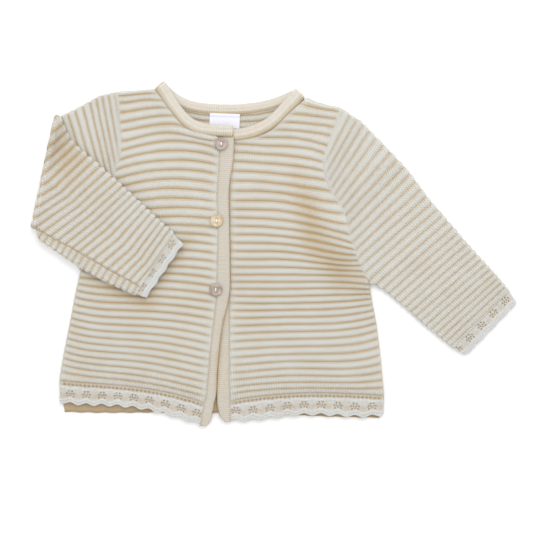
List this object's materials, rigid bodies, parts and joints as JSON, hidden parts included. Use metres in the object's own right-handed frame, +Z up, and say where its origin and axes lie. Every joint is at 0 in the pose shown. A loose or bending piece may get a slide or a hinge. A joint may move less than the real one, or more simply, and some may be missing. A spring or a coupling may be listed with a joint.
{
  "type": "baby cardigan",
  "caption": "Ribbed knit baby cardigan with long sleeves, buttoned front, rolled neckband and pointelle hem and cuffs, laid flat with one sleeve folded over the front.",
  "frame": {"origin": "under the middle of the bounding box, on the surface that the garment lies on", "axes": "+Z up, away from the surface; +Y toward the neck; +X toward the wearer's left sleeve"},
  "size_m": [0.4164, 0.2952, 0.0107],
  "materials": {
    "ribbed_knit": "matt cream ribbed wool knit, tan in the grooves",
    "plain_knit": "matt cream plain knit",
    "fine_rib": "matt pale cream fine rib",
    "lace_knit": "matt pale cream pointelle",
    "button_shell": "satin mottled shell",
    "label_tape": "smooth woven tape, blank"
  },
  "bodies": {
    "root": {"back": "ribbed_knit", "front_right": "ribbed_knit", "front_left": "ribbed_knit", "sleeve_right": "ribbed_knit", "sleeve_left": "ribbed_knit", "band_right": "plain_knit", "band_left": "plain_knit", "neckband": "fine_rib", "hem_lace_back": "lace_knit", "hem_lace_right": "lace_knit", "hem_lace_left": "lace_knit", "cuff_lace_right": "lace_knit", "cuff_lace_left": "lace_knit", "button_top": "button_shell", "button_middle": "button_shell", "button_bottom": "button_shell", "label": "label_tape"}
  },
  "joints": []
}
